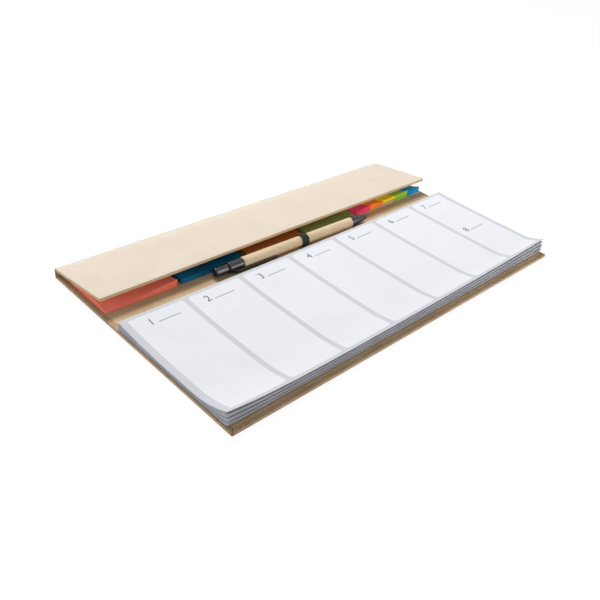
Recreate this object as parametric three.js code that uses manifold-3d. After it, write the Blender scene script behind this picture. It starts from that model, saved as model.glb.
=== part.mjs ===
// Weekly desk planner: a paper-covered board case that holds a planner pad, sticky notes,
// page flags and a retractable pen in an elastic loop.
// Millimetres. +X runs along the case, +Y towards its spine, +Z up.
// The origin is on the desk, under the middle of the case.
import * as THREE from 'three';
import { mergeVertices } from 'three/addons/utils/BufferGeometryUtils.js';
import Module from 'manifold-3d';

const wasm = await Module();
wasm.setup();

// Papers and boards of the case
const paperThickness = 0.2;
const boardThickness = 1.9;
const pasteFilm = 0.05;
const turnIn = 12;
const mitreSlit = 0.3;
const liningMargin = 3;

// The case as it stands on the desk
const caseLength = 297;
const caseDepth = 168.3;
const spineHeight = 7.2;
const flapTilt = THREE.MathUtils.degToRad(7.5);
const creaseRadius = 1;
const creaseSlit = 0.8;
const boardSetback = 1;
const spineBoardInset = 0.5;
const creaseSteps = 6;

// Planner pad
const padSideMargin = 0.5;
const padFrontMargin = 4;
const penBayDepth = 17;
const padBoundHeight = 4.4;
const padGrooveDepths = [18, 11];
const padGrooveLevels = [[0.3, 0.38], [0.86, 0.9]];
const padFanBack = 0.22;
const padColumns = 24;
const padRows = 20;

// Heights of the pad's relaxed top sheet above its underside
const padRestLeft = 2.7;
const padRestRise = 3.3;
const padBackRise = 0.7;
const padBackRiseLeft = 2.1;
const padBackReach = 47;
const padFrontCurl = 2.9;
const padCurlLeft = 4.4;
const padCurlRight = 1.6;
const padCurlReachLeft = 28;
const padCurlReachRight = 16;
const padCornerWidth = 34;

// Sticky notes, which share the row under the flap with the page flags
const noteDepth = 38;
const noteThickness = 3;
const noteGap = 3.3;
const noteLeftMargin = 3.2;
const noteToFlagGap = 5.1;
const noteCurlReach = 9;

// Page flags on their backing strip
const flagWidth = 14.4;
const flagDepth = 44;
const flagThickness = 2.1;
const flagGap = 0.75;
const flagRightMargin = 3.8;
const flapBackRoom = 5.7;
const flagBackingThickness = 0.3;
const flagBackingBorder = 0.6;
const flagCurlReach = 8;

// Pen, measured along its axis from the end of the button
const penLength = 139.9;
const penYaw = THREE.MathUtils.degToRad(-1.08);
const penMiddleX = -1.65;
const penFromNotes = 7.45;
const barrelRadius = 3.6;
const barrelWall = 0.5;
const buttonExposed = 10.6;
const capExposed = 11.6;
const noseExposed = 16.4;
const spigotLength = 7.5;
const penSeam = 0.3;
const spigotClearance = 0.15;
const spigotWall = 0.4;
const capCollarLength = 1.3;
const capCollarProud = 0.15;
const capRecessLength = 6.4;
const capMouthLength = 2.7;
const buttonHeadRadius = 2.9;
const buttonHeadGap = 0.3;
const buttonRadius = 2.3;
const buttonClearance = 0.15;
const buttonEdge = 0.6;
const buttonStemLength = 13.2;
const buttonCollarProud = 0.2;
const buttonCollarLength = 2;
const buttonCollarSetback = 1;
const camLength = 6.4;
const camRadius = 2.45;
const camCoreRadius = 1.9;
const camTeeth = 4;
const refillRadius = 1.45;
const refillCollarRadius = 2.3;
const refillCollarLength = 1;
const refillCollarFromEnd = 9.7;
const refillTipRadius = 1.15;
const refillTipLength = 10;
const refillTipCone = 4.5;
const refillPointRadius = 0.4;
const refillPointSetback = 1.4;
const noseTipRadius = 1.9;
const noseTipEdge = 0.4;
const noseHoleClearance = 0.15;
const noseHoleLength = 3.2;
const noseBoreClearance = 0.15;
const noseShoulderFromEnd = 9.2;
const springWire = 0.2;
const springTurns = 8;
const springClearance = 0.2;
const clipWidth = 2.6;
const clipThickness = 1.1;
const clipGap = 0.7;
const clipLength = 37;
const clipRootLength = 4.5;
const clipRootSetback = 1;
const clipFootLength = 3;
const clipFootClearance = 0.25;
const clipAngle = THREE.MathUtils.degToRad(115);
const roundSegments = 32;
const slimSegments = 20;

// Elastic pen loop
const loopWidth = 5.4;
const loopFromPenEnd = 73.2;
const elasticThickness = 0.7;
const loopClearance = 0.2;
const loopFlattening = 0.35;

// Levels inside a case panel, from its outer face inwards
const boardBottom = paperThickness + pasteFilm;
const boardTop = boardBottom + boardThickness;
const lipBottom = boardTop - paperThickness;
const liningBottom = boardTop + pasteFilm;
const panelThickness = liningBottom + paperThickness;

// Notes and flags in the order in which they lie, with how many thicknesses their front corners curl up
const notes = [
  { name: 'note_pad_coral', colour: 0xe1705c, liftLeft: -0.75, liftRight: 0.6 },
  { name: 'note_pad_blue', colour: 0x1c6f96, liftLeft: 0.07, liftRight: 0.07 },
  { name: 'note_pad_orange', colour: 0xe08a3c, liftLeft: 0.1, liftRight: 0.13 },
  { name: 'note_pad_green', colour: 0x9cb45c, liftLeft: 0.07, liftRight: 0.2 },
];
const flags = [
  { name: 'flag_pad_pink', colour: 0xe04a70, liftLeft: 0.4, liftRight: 1.3 },
  { name: 'flag_pad_orange', colour: 0xf89440, liftLeft: 1.4, liftRight: 0.8 },
  { name: 'flag_pad_yellow', colour: 0xf4d428, liftLeft: 1, liftRight: 1.2 },
  { name: 'flag_pad_green', colour: 0x9ccc50, liftLeft: 1.4, liftRight: 1.5 },
  { name: 'flag_pad_blue', colour: 0x2090b8, liftLeft: 1.4, liftRight: 1.4 },
];

// Places that several pieces share
const halfLength = caseLength / 2;
const frontY = -caseDepth / 2;
const creaseY = caseDepth / 2 - creaseRadius;
const flapDepth = Math.max(noteDepth, flagDepth + flagBackingBorder) + flapBackRoom;
const stickyY = creaseY - flapDepth;
const flagPitch = flagWidth + flagGap;
const flagRowWidth = flags.length * flagPitch - flagGap;
const flagLeftX = halfLength - flagRightMargin - flagRowWidth;
const noteLeftX = -halfLength + noteLeftMargin;
const notePitch = (flagLeftX - noteToFlagGap - noteLeftX + noteGap) / notes.length;
const noteWidth = notePitch - noteGap;
const hingeSetback = panelThickness - creaseRadius + boardSetback;
const spineBoardLow = creaseRadius + spineBoardInset;
const spineBoardHigh = spineHeight - creaseRadius - spineBoardInset;
const overshoot = 1;

// Finishes
function finish(colour, roughness, metalness = 0) {
  return new THREE.MeshStandardMaterial({ color: colour, roughness, metalness });
}

const kraftPaper = finish(0xd9bf9b, 0.85);
const kraftLining = finish(0xb8946a, 0.9);
const greyBoard = finish(0x9a948a, 0.95);
const padPaper = finish(0xeff0f3, 0.8);
const blackElastic = finish(0x1b1b1f, 0.9);
const blackPlastic = finish(0x2c2a30, 0.4);
const kraftTube = finish(0xe0cba3, 0.8);
const refillPlastic = finish(0xdfe3e6, 0.35);
const tipBrass = finish(0xc9a24a, 0.3, 1);
const springSteel = finish(0xb9bcc0, 0.3, 1);
const backingCard = finish(0xf2f1ec, 0.7);

// Solid building
function boxBetween(low, high) {
  const size = high.map((value, i) => value - low[i]);
  const geometry = new THREE.BoxGeometry(...size);
  return geometry.translate(...low.map((value, i) => value + size[i] / 2));
}

function toSolid(geometry) {
  const bare = geometry.clone();
  bare.deleteAttribute('normal');
  bare.deleteAttribute('uv');
  const merged = mergeVertices(bare, 1e-4);
  return new wasm.Manifold(new wasm.Mesh({
    numProp: 3,
    vertProperties: new Float32Array(merged.attributes.position.array),
    triVerts: new Uint32Array(merged.index.array),
  }));
}

function toGeometry(solid) {
  const mesh = solid.getMesh();
  const geometry = new THREE.BufferGeometry();
  geometry.setAttribute('position', new THREE.BufferAttribute(new Float32Array(mesh.vertProperties), 3));
  geometry.setIndex([...mesh.triVerts]);
  return geometry;
}

function cut(body, ...tools) {
  const left = tools.reduce((rest, tool) => rest.subtract(toSolid(tool)), toSolid(body));
  return toGeometry(left);
}

function join(...bodies) {
  const [first, ...others] = bodies.map(toSolid);
  return toGeometry(others.reduce((sum, other) => sum.add(other), first));
}

// A closed outline of [y, z] points, with any holes, pushed along X from 0 to length
function pushAlongX(outline, length, holes = []) {
  const asVectors = (points) => points.map(([y, z]) => new THREE.Vector2(y, z));
  const shape = new THREE.Shape(asVectors(outline));
  shape.holes = holes.map((hole) => new THREE.Path(asVectors(hole)));
  const geometry = new THREE.ExtrudeGeometry(shape, { depth: length, bevelEnabled: false });
  const axes = [new THREE.Vector3(0, 1, 0), new THREE.Vector3(0, 0, 1), new THREE.Vector3(1, 0, 0)];
  return geometry.applyMatrix4(new THREE.Matrix4().makeBasis(...axes));
}

// A profile of [distance along X, radius] points, turned about the X axis
function turned(profile, segments = roundSegments) {
  const points = profile.map(([along, radius]) => new THREE.Vector2(radius, along));
  return new THREE.LatheGeometry(points, segments).rotateZ(-Math.PI / 2);
}

function arcPoints(centreY, centreZ, radius, from, to, steps) {
  return Array.from({ length: steps + 1 }, (_, i) => {
    const angle = from + (to - from) * i / steps;
    return [centreY + radius * Math.cos(angle), centreZ + radius * Math.sin(angle)];
  });
}

// A solid through a row of like outlines of [y, z] points, one at each x, closed by flat ends
function loftAlongX(stations, outlineAt) {
  const rings = stations.map(outlineAt);
  const count = rings[0].length;
  const positions = rings.flatMap((ring, i) => ring.flatMap(([y, z]) => [stations[i], y, z]));
  const faces = [];
  for (let i = 0; i + 1 < rings.length; i += 1) {
    for (let j = 0; j < count; j += 1) {
      const a = i * count + j;
      const b = i * count + (j + 1) % count;
      faces.push(a, b, a + count, b, b + count, a + count);
    }
  }
  const last = (rings.length - 1) * count;
  for (const [ring, start, facesX] of [[rings[0], 0, -1], [rings.at(-1), last, 1]]) {
    const contour = ring.map(([y, z]) => new THREE.Vector2(y, z));
    for (const triangle of THREE.ShapeUtils.triangulateShape(contour, [])) {
      const sameWay = THREE.ShapeUtils.area(triangle.map((k) => contour[k])) * facesX > 0;
      const ordered = sameWay ? triangle : [...triangle].reverse();
      faces.push(...ordered.map((k) => k + start));
    }
  }
  const geometry = new THREE.BufferGeometry();
  geometry.setAttribute('position', new THREE.Float32BufferAttribute(positions, 3));
  geometry.setIndex(faces);
  return geometry;
}

const planner = new THREE.Group();

function add(parent, name, geometry, material) {
  const mesh = new THREE.Mesh(geometry, material);
  mesh.name = name;
  parent.add(mesh);
  return mesh;
}

// Case panels lie on their outer face here: y = 0 on the crease axis, y = -depth at the free edge.
// The cover paper wraps the board on three sides and is turned in over a pressed-down border.
function panelCover(depth) {
  const half = halfLength;
  const blank = boxBetween([-half, -depth, 0], [half, -creaseSlit, boardTop]);
  const pocket = boxBetween(
    [-half + paperThickness, -depth + paperThickness, paperThickness],
    [half - paperThickness, overshoot, lipBottom],
  );
  const window = boxBetween(
    [-half + turnIn, -depth + turnIn, paperThickness],
    [half - turnIn, overshoot, boardTop + overshoot],
  );
  const beyondBoard = boxBetween(
    [-half - overshoot, -hingeSetback, paperThickness],
    [half + overshoot, overshoot, boardTop + overshoot],
  );
  const slits = [-1, 1].map((side) => {
    const reach = turnIn * Math.SQRT2;
    const slit = boxBetween(
      [paperThickness, -mitreSlit / 2, lipBottom - pasteFilm],
      [reach, mitreSlit / 2, boardTop + overshoot],
    );
    slit.rotateZ(side < 0 ? Math.PI / 4 : Math.PI * 3 / 4);
    return slit.translate(side * (half - paperThickness), -depth + paperThickness, 0);
  });
  return cut(blank, pocket, window, beyondBoard, ...slits);
}

function panelBoard(depth) {
  const edge = paperThickness + pasteFilm;
  const border = turnIn + pasteFilm;
  const lower = boxBetween(
    [-halfLength + edge, -depth + edge, boardBottom],
    [halfLength - edge, -hingeSetback, lipBottom - pasteFilm],
  );
  const upper = boxBetween(
    [-halfLength + border, -depth + border, boardBottom],
    [halfLength - border, -hingeSetback, boardTop],
  );
  return join(lower, upper);
}

function panelLining(depth) {
  return boxBetween(
    [-halfLength + liningMargin, -depth + liningMargin, liningBottom],
    [halfLength - liningMargin, -hingeSetback, panelThickness],
  );
}

function addPanel(parent, name, depth) {
  add(parent, `${name}_cover_paper`, panelCover(depth), kraftPaper);
  add(parent, `${name}_board`, panelBoard(depth), greyBoard);
  add(parent, `${name}_lining_paper`, panelLining(depth), kraftLining);
}

const base = new THREE.Group();
base.position.y = creaseY;
addPanel(base, 'base', caseDepth - creaseRadius);
planner.add(base);

const flap = new THREE.Group();
flap.position.set(0, creaseY, spineHeight - creaseRadius);
flap.rotation.x = -flapTilt;
const flapFaceDown = new THREE.Group();
flapFaceDown.position.z = creaseRadius;
flapFaceDown.rotation.y = Math.PI;
addPanel(flapFaceDown, 'flap', flapDepth);
flap.add(flapFaceDown);
planner.add(flap);

// The spine stands between the two creases. Its cover paper carries both bends.
function spineCover() {
  const outer = creaseRadius;
  const inner = creaseRadius - paperThickness;
  const low = [creaseY, creaseRadius];
  const high = [creaseY, spineHeight - creaseRadius];
  const outline = [
    ...arcPoints(...low, outer, -Math.PI / 2, 0, creaseSteps),
    ...arcPoints(...high, outer, 0, Math.PI / 2, creaseSteps),
    ...arcPoints(...high, inner, Math.PI / 2, 0, creaseSteps),
    ...arcPoints(...low, inner, 0, -Math.PI / 2, creaseSteps),
  ];
  const outerY = creaseY + creaseRadius;
  const sheet = pushAlongX(outline, caseLength).translate(-halfLength, 0, 0);
  const ends = [-1, 1].flatMap((side) => {
    const wall = [side * halfLength, side * (halfLength - paperThickness)].sort((a, b) => a - b);
    const lip = [side * halfLength, side * (halfLength - turnIn)].sort((a, b) => a - b);
    return [
      boxBetween([wall[0], outerY - boardTop, spineBoardLow], [wall[1], outerY, spineBoardHigh]),
      boxBetween([lip[0], outerY - boardTop, spineBoardLow], [lip[1], outerY - lipBottom, spineBoardHigh]),
    ];
  });
  return join(sheet, ...ends);
}

function spineBoard() {
  const outerY = creaseY + creaseRadius;
  const end = halfLength - paperThickness - pasteFilm;
  const border = halfLength - turnIn - pasteFilm;
  return join(
    boxBetween([-end, outerY - lipBottom + pasteFilm, spineBoardLow], [end, outerY - boardBottom, spineBoardHigh]),
    boxBetween([-border, outerY - boardTop, spineBoardLow], [border, outerY - boardBottom, spineBoardHigh]),
  );
}

function spineLining() {
  const outerY = creaseY + creaseRadius;
  return boxBetween(
    [-halfLength + liningMargin, outerY - panelThickness, spineBoardLow],
    [halfLength - liningMargin, outerY - liningBottom, spineBoardHigh],
  );
}

add(planner, 'spine_cover_paper', spineCover(), kraftPaper);
add(planner, 'spine_board', spineBoard(), greyBoard);
add(planner, 'spine_lining_paper', spineLining(), kraftLining);

// Planner pad: sheets glued along the back edge, relaxed and curling up along the front
const padWidth = caseLength - 2 * padSideMargin;
const padFrontY = frontY + padFrontMargin;
const padBackY = stickyY - penBayDepth;
const padDepth = padBackY - padFrontY;

function padHeight(x, fromFront) {
  const across = (x + padWidth / 2) / padWidth;
  const left = (x + padWidth / 2) / padCornerWidth;
  const right = (padWidth / 2 - x) / padCornerWidth;
  const rest = padRestLeft + padRestRise * across ** 1.3;
  const toBack = Math.max(0, 1 - (padDepth - fromFront) / padBackReach);
  const back = (padBackRise + padBackRiseLeft * (1 - across) ** 2) * toBack ** 2;
  const curl = padFrontCurl + padCurlLeft * Math.exp(-left) + padCurlRight * Math.exp(-right);
  const reach = padCurlReachLeft + (padCurlReachRight - padCurlReachLeft) * across;
  const toFront = Math.max(0, 1 - fromFront / reach);
  return rest + back + curl * toFront ** 1.8;
}

function padOutline(x) {
  const point = (fromFront, level) => {
    const height = padHeight(x, fromFront);
    const fanned = padFanBack * Math.max(0, height - padBoundHeight) * level * (1 - fromFront / padDepth);
    return [padFrontY + fromFront + fanned, panelThickness + height * level];
  };
  const front = padGrooveLevels.flatMap(([low, high], i) => [
    point(0, low),
    point(padGrooveDepths[i], (low + high) / 2),
    point(0, high),
  ]);
  const top = Array.from({ length: padRows + 1 }, (_, i) => point(padDepth * (i / padRows) ** 1.6, 1));
  return [[padBackY, panelThickness], ...[...top].reverse(), ...[...front].reverse(), [padFrontY, panelThickness]];
}

const padStations = Array.from({ length: padColumns + 1 }, (_, i) => {
  return -padWidth / 2 * Math.cos(Math.PI * i / padColumns);
});
add(planner, 'planner_pad', loftAlongX(padStations, padOutline), padPaper);

// A block of small sheets, flat below, with its front corners curling up
function paperBlock({ width, depth, thickness, reach, liftLeft, liftRight }) {
  const stations = [0, reach / 2, reach, width - reach, width - reach / 2, width].filter((x, i, all) => {
    return i === 0 || x > all[i - 1] + 1e-3;
  });
  const rows = [depth, reach, reach * 0.66, reach * 0.33, 0];
  return loftAlongX(stations, (x) => {
    const lift = liftLeft + (liftRight - liftLeft) * x / width;
    const top = rows.map((y) => [y, thickness * (1 + lift * Math.max(0, 1 - y / reach) ** 1.5)]);
    return [[0, 0], [depth, 0], ...top];
  });
}

notes.forEach(({ name, colour, liftLeft, liftRight }, i) => {
  const block = paperBlock({
    width: noteWidth,
    depth: noteDepth,
    thickness: noteThickness,
    reach: noteCurlReach,
    liftLeft,
    liftRight,
  });
  const note = add(planner, name, block, finish(colour, 0.75));
  note.position.set(noteLeftX + i * notePitch, stickyY, panelThickness);
});

const flagBackingWidth = flagRowWidth + 2 * flagBackingBorder;
const flagBacking = boxBetween([0, 0, 0], [flagBackingWidth, flagDepth + flagBackingBorder, flagBackingThickness]);
const backing = add(planner, 'flag_backing_card', flagBacking, backingCard);
backing.position.set(flagLeftX - flagBackingBorder, stickyY, panelThickness);

flags.forEach(({ name, colour, liftLeft, liftRight }, i) => {
  const block = paperBlock({
    width: flagWidth,
    depth: flagDepth,
    thickness: flagThickness,
    reach: Math.min(flagCurlReach, flagWidth / 2),
    liftLeft,
    liftRight,
  });
  const flag = add(planner, name, block, finish(colour, 0.7));
  flag.position.set(flagLeftX + i * flagPitch, stickyY, panelThickness + flagBackingThickness);
});

// Pen: its group's X axis is the pen's axis, from the button to the tip
const loopOuterRadius = barrelRadius + loopClearance + elasticThickness;
const penAxisHeight = panelThickness + pasteFilm + loopOuterRadius - loopFlattening;
const pen = new THREE.Group();
pen.rotation.z = penYaw;
pen.position.set(
  penMiddleX - penLength / 2 * Math.cos(penYaw),
  stickyY - penFromNotes - penLength / 2 * Math.sin(penYaw),
  penAxisHeight,
);
planner.add(pen);

const capEnd = buttonExposed + capExposed;
const barrelStart = capEnd;
const noseStart = penLength - noseExposed;
const barrelEnd = noseStart;
const barrelBore = barrelRadius - barrelWall;
const spigotRadius = barrelBore - spigotClearance;
const spigotBore = spigotRadius - spigotWall;
const capMouthRadius = buttonRadius + buttonClearance;
const capRecessRadius = buttonHeadRadius + buttonClearance;
const capMouthStart = buttonExposed + capRecessLength;
const capMouthEnd = capMouthStart + capMouthLength;

// Rolled paper tube
add(pen, 'pen_barrel', turned([
  [barrelStart, barrelBore],
  [barrelStart, barrelRadius],
  [barrelEnd, barrelRadius],
  [barrelEnd, barrelBore],
  [barrelStart, barrelBore],
]), kraftTube);

// Cap with its clip, moulded as one piece, with a recess that takes the button's head when it is pressed
const capRadius = barrelRadius - capCollarProud;
const capShoulder = capEnd - penSeam;
const capSpigotEnd = capEnd + spigotLength;
const capBody = turned([
  [buttonExposed, capRecessRadius],
  [buttonExposed, barrelRadius],
  [buttonExposed + capCollarLength, barrelRadius],
  [buttonExposed + capCollarLength, capRadius],
  [capShoulder, capRadius],
  [capShoulder, spigotRadius],
  [capSpigotEnd, spigotRadius],
  [capSpigotEnd, spigotBore],
  [capMouthEnd, spigotBore],
  [capMouthEnd, capMouthRadius],
  [capMouthStart, capMouthRadius],
  [capMouthStart, capRecessRadius],
  [buttonExposed, capRecessRadius],
]);

function clipArm() {
  const start = buttonExposed + capCollarLength + clipRootSetback;
  const end = start + clipLength;
  const under = barrelRadius + clipGap;
  const over = under + clipThickness;
  const rootDepth = spigotRadius;
  const foot = barrelRadius + clipFootClearance;
  const profile = new THREE.Shape();
  profile.moveTo(start, rootDepth);
  profile.lineTo(start + clipRootLength, rootDepth);
  profile.lineTo(start + clipRootLength, under);
  profile.lineTo(end - 2 * clipFootLength, under);
  profile.quadraticCurveTo(end - 1.5 * clipFootLength, foot, end - clipFootLength, foot);
  profile.quadraticCurveTo(end - clipFootLength / 2, foot, end, over);
  profile.quadraticCurveTo(end - clipFootLength, over, end - 2 * clipFootLength, over);
  profile.lineTo(start + clipRootSetback, over);
  profile.quadraticCurveTo(start, over, start, under);
  const arm = new THREE.ExtrudeGeometry(profile, { depth: clipWidth, bevelEnabled: false, curveSegments: 5 });
  return arm.translate(0, 0, -clipWidth / 2).rotateX(Math.PI / 2).rotateX(clipAngle);
}

add(pen, 'pen_cap_and_clip', join(capBody, clipArm()), blackPlastic);

// Nose cone, bored for the spring and the refill
const noseShoulder = penLength - noseShoulderFromEnd;
const noseBore = refillRadius + noseBoreClearance;
const noseHole = refillTipRadius + noseHoleClearance;
const noseSpigotStart = noseStart - spigotLength;
add(pen, 'pen_nose_cone', turned([
  [noseSpigotStart, spigotBore],
  [noseSpigotStart, spigotRadius],
  [noseStart + penSeam, spigotRadius],
  [noseStart + penSeam, barrelRadius],
  [noseStart + noseExposed * 0.35, barrelRadius * 0.93],
  [noseStart + noseExposed * 0.7, (barrelRadius + noseTipRadius) / 2],
  [penLength - noseTipEdge, noseTipRadius],
  [penLength, noseTipRadius - noseTipEdge],
  [penLength, noseHole],
  [penLength - noseHoleLength, noseHole],
  [penLength - noseHoleLength, noseBore],
  [noseShoulder, noseBore],
  [noseShoulder, spigotBore],
  [noseSpigotStart, spigotBore],
]), blackPlastic);

// Button: its head, then a neck with the collar that keeps it in the cap
const buttonEnd = buttonExposed + buttonStemLength;
const buttonHeadEnd = buttonExposed - buttonHeadGap;
const buttonCollarStart = capMouthEnd + buttonCollarSetback;
const buttonCollarRadius = capMouthRadius + buttonCollarProud - spigotClearance;
add(pen, 'pen_button', turned([
  [0, 0],
  [0, buttonHeadRadius - buttonEdge],
  [buttonEdge, buttonHeadRadius],
  [buttonHeadEnd, buttonHeadRadius],
  [buttonHeadEnd, buttonRadius],
  [buttonCollarStart, buttonRadius],
  [buttonCollarStart, buttonCollarRadius],
  [buttonCollarStart + buttonCollarLength, buttonCollarRadius],
  [buttonCollarStart + buttonCollarLength, buttonRadius],
  [buttonEnd, buttonRadius],
  [buttonEnd, 0],
]), blackPlastic);

// Indexing cam between the button and the refill
function toothedOutline(teeth, rootRadius, tipRadius) {
  const pitch = 2 * Math.PI / teeth;
  return Array.from({ length: teeth }, (_, i) => i * pitch).flatMap((angle) => [
    ...arcPoints(0, 0, tipRadius, angle - pitch * 0.16, angle + pitch * 0.16, 3),
    ...arcPoints(0, 0, rootRadius, angle + pitch * 0.22, angle + pitch * 0.78, 4),
  ]);
}

const camStart = buttonEnd + penSeam;
const cam = pushAlongX(toothedOutline(camTeeth, camCoreRadius, camRadius), camLength).translate(camStart, 0, 0);
add(pen, 'pen_cam', cam, finish(0xe8e6e0, 0.5));

// Refill: ink tube with its spring collar, then the writing tip
const tipEnd = penLength - refillPointSetback;
const tipStart = tipEnd - refillTipLength;
const refillStart = camStart + camLength + penSeam;
const refillEnd = tipStart - penSeam;
const refillCollar = refillEnd - refillCollarFromEnd;
add(pen, 'pen_refill_tube', turned([
  [refillStart, 0],
  [refillStart, refillRadius],
  [refillCollar, refillRadius],
  [refillCollar, refillCollarRadius],
  [refillCollar + refillCollarLength, refillCollarRadius],
  [refillCollar + refillCollarLength, refillRadius],
  [refillEnd, refillRadius],
  [refillEnd, 0],
], slimSegments), refillPlastic);

add(pen, 'pen_refill_tip', turned([
  [tipStart, 0],
  [tipStart, refillTipRadius],
  [tipEnd - refillTipCone, refillTipRadius],
  [tipEnd, refillPointRadius],
  [tipEnd, 0],
], slimSegments), tipBrass);

// Return spring, from the refill's collar to the shoulder inside the nose cone
class Helix extends THREE.Curve {
  constructor(start, length, radius, turns) {
    super();
    Object.assign(this, { start, length, radius, turns });
  }

  getPoint(t) {
    const angle = 2 * Math.PI * this.turns * t;
    return new THREE.Vector3(
      this.start + this.length * t,
      this.radius * Math.cos(angle),
      this.radius * Math.sin(angle),
    );
  }
}

const springStart = refillCollar + refillCollarLength + springWire + penSeam;
const springEnd = noseShoulder - springWire - penSeam;
const springRadius = spigotBore - springClearance - springWire;
const springPath = new Helix(springStart, springEnd - springStart, springRadius, springTurns);
const wirePoints = arcPoints(0, 0, springWire, 0, Math.PI * 1.6, 4);
const wireSection = new THREE.Shape(wirePoints.map(([x, y]) => new THREE.Vector2(x, y)));
const spring = new THREE.ExtrudeGeometry(wireSection, {
  steps: springTurns * 10,
  extrudePath: springPath,
  bevelEnabled: false,
});
add(pen, 'pen_spring', spring, springSteel);

// Elastic loop round the barrel, flattened where it is glued to the lining
const loopInnerRadius = barrelRadius + loopClearance;
const loopFoot = loopOuterRadius - loopFlattening;
const footAngle = Math.acos(loopFoot / loopOuterRadius);
const loopOuter = arcPoints(0, 0, loopOuterRadius, footAngle - Math.PI / 2, Math.PI * 3 / 2 - footAngle, roundSegments);
const lastHoleAngle = 2 * Math.PI * (1 - 1 / roundSegments);
const loopInner = arcPoints(0, 0, loopInnerRadius, 0, lastHoleAngle, roundSegments - 1);
add(pen, 'pen_loop', pushAlongX(loopOuter, loopWidth, [loopInner]).translate(loopFromPenEnd, 0, 0), blackElastic);

export default planner;
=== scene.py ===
# Weekly desk planner: a kraft case folded open on a long pad, with sticky notes, page flags and a pen in
# its loop.
# Lengths are in millimetres and become metres when a mesh is made.
from math import radians

import bmesh
import bpy
import numpy as np
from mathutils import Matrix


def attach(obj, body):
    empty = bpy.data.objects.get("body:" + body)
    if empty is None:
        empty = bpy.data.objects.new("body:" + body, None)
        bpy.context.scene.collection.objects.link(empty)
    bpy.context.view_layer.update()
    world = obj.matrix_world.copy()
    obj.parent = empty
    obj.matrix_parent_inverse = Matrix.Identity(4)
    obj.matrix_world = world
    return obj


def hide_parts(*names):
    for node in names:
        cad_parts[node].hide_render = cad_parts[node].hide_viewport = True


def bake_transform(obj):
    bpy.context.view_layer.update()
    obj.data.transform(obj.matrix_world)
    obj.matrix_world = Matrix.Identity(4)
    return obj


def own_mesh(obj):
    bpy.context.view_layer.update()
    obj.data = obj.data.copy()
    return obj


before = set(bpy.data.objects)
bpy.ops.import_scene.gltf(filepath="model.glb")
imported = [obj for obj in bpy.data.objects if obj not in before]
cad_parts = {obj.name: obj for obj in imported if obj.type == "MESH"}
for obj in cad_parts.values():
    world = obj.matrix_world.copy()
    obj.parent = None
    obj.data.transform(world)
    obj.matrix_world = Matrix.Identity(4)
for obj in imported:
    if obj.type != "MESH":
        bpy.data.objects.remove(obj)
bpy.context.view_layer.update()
print("frame loaded")

rng = np.random.default_rng(7)


def linear(red, green, blue):
    c = np.array([red, green, blue], float) / 255
    c = np.where(c <= 0.04045, c / 12.92, ((c + 0.055) / 1.055) ** 2.4)
    return (*c, 1.0)


def addNode(tree, kind, inputs=None, **settings):
    made = tree.nodes.new(kind)
    for key, value in settings.items():
        setattr(made, key, value)
    for key, value in (inputs or {}).items():
        if isinstance(value, bpy.types.NodeSocket):
            tree.links.new(value, made.inputs[key])
        else:
            made.inputs[key].default_value = value
    return made


def calc(tree, operation, a, b=0.0, c=0.0):
    return addNode(tree, "ShaderNodeMath", {0: a, 1: b, 2: c}, operation=operation).outputs[0]


def ramp(tree, value, low, high, to=(0.0, 1.0)):
    return addNode(tree, "ShaderNodeMapRange", {0: value, 1: low, 2: high, 3: to[0], 4: to[1]}).outputs[0]


def blendColours(tree, factor, a, b):
    return addNode(tree, "ShaderNodeMix", {0: factor, 6: a, 7: b}, data_type="RGBA").outputs[2]


def noise(tree, place, scale, detail):
    return addNode(tree, "ShaderNodeTexNoise", {"Vector": place, "Scale": scale, "Detail": detail}).outputs[0]


def splitAxes(tree, vector):
    return addNode(tree, "ShaderNodeSeparateXYZ", {0: vector}).outputs


# The length of a vector from its two legs
def diagonal(tree, a, b):
    return calc(tree, "SQRT", calc(tree, "ADD", calc(tree, "MULTIPLY", a, a), calc(tree, "MULTIPLY", b, b)))


# How far a value is from a centre
def offFrom(tree, value, centre):
    return calc(tree, "ABSOLUTE", calc(tree, "SUBTRACT", value, centre))


# How far a value goes past an edge, and 0 before it
def past(tree, value, edge):
    return calc(tree, "MAXIMUM", calc(tree, "SUBTRACT", value, edge), 0.0)


def startMaterial(name):
    material = bpy.data.materials.new(name)
    material.use_nodes = True
    tree = material.node_tree
    shader = tree.nodes["Principled BSDF"]
    place = addNode(tree, "ShaderNodeTexCoord").outputs["Object"]
    return material, tree, shader, place


# Scales are in cells per metre
paperLook = {
    "fibre": 0.25, "fleck": 0.5, "tooth": 0.25, "rough": 0.86, "roughSpread": 0.06, "mottling": 55.0,
    "fibreRuns": ((0.45, (210, 1700, 1700)), (-1.05, (260, 2100, 2100))), "fleckScale": 620.0,
    "fleckFrom": 0.86, "toothScale": 2400.0, "toothDepth": 0.00006,
}


# Paper: a base colour, broad mottling, two directions of drawn-out fibres and sparse flecks
def paperLayers(tree, place, look):
    mottle = noise(tree, place, look["mottling"], 4.0)
    colour = blendColours(tree, ramp(tree, mottle, 0.35, 0.65), look["base"], look["shade"])
    for turn, stretch in look["fibreRuns"]:
        turned = {"Vector": place, "Rotation": (0, 0, turn), "Scale": stretch}
        fibre = noise(tree, addNode(tree, "ShaderNodeMapping", turned).outputs[0], 1.0, 2.0)
        fibre = ramp(tree, fibre, 0.56, 0.72, (0, look["fibre"]))
        colour = blendColours(tree, fibre, colour, look["fibreColour"])
    spots = addNode(tree, "ShaderNodeTexVoronoi", {"Vector": place, "Scale": look["fleckScale"]}).outputs
    draw = addNode(tree, "ShaderNodeSeparateColor", {0: spots[1]}).outputs[0]
    chosen = calc(tree, "GREATER_THAN", draw, look["fleckFrom"])
    near = ramp(tree, spots[0], 0.3, 0.12, (0, look["fleck"]))
    return blendColours(tree, calc(tree, "MULTIPLY", chosen, near), colour, look["fleckColour"])


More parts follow.
